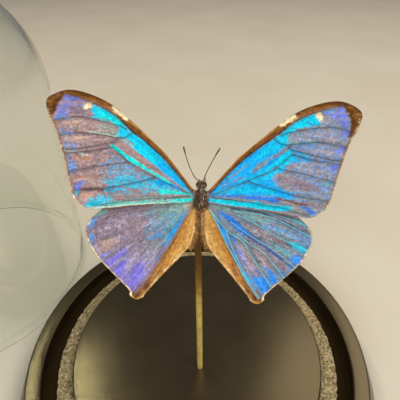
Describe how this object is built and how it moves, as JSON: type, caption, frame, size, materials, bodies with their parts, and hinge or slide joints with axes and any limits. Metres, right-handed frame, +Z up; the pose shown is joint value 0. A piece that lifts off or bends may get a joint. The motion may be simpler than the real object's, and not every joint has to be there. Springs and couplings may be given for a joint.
{
  "type": "bell jar dome",
  "caption": "Glass bell jar dome standing beside its round black base, which has a felt-lined groove for the rim and a brass rod that carries a mounted blue butterfly.",
  "frame": {"origin": "centre of the base's felted underside", "axes": "+Z up along the base's turning axis, -Y towards the viewer, +X to the viewer's right"},
  "size_m": [0.2671, 0.1958, 0.17],
  "materials": {
    "black_lacquer": "satin black lacquer on turned wood",
    "grey_felt": "grey speckled felt, worn",
    "black_felt": "pressed black felt",
    "brass": "drawn brass rod, lightly tarnished",
    "glue": "hardened clear glue",
    "body_hair": "dried insect body with brown and grey hair",
    "eye": "dull faceted brown",
    "palp": "cream scales",
    "antenna": "dark brown",
    "wing_scales": "iridescent blue and violet scales with brown edges",
    "clear_glass": "clear blown glass with a fire-polished rim"
  },
  "bodies": {
    "base": {"base_plinth": "black_lacquer", "felt_seat_ring": "grey_felt", "underside_felt": "black_felt"},
    "specimen": {"brass_rod": "brass", "glue_collar": "glue", "thorax": "body_hair", "head": "body_hair", "eye_left": "eye", "eye_right": "eye", "palp_left": "palp", "palp_right": "palp", "antenna_left": "antenna", "antenna_right": "antenna", "forewing_left": "wing_scales", "forewing_right": "wing_scales", "hindwing_left": "wing_scales", "hindwing_right": "wing_scales"},
    "dome": {"glass_dome": "clear_glass"}
  },
  "joints": [
    {"name": "specimen_turn", "type": "hinge", "parent": "base", "child": "specimen", "pos_m": [0.0013, -0.0095, 0.015], "axis": [0, 0, 1], "continuous": true},
    {"name": "dome_lift", "type": "slide", "parent": "base", "child": "dome", "axis": [0, 0, 1], "range_m": [0, 0.2]}
  ]
}
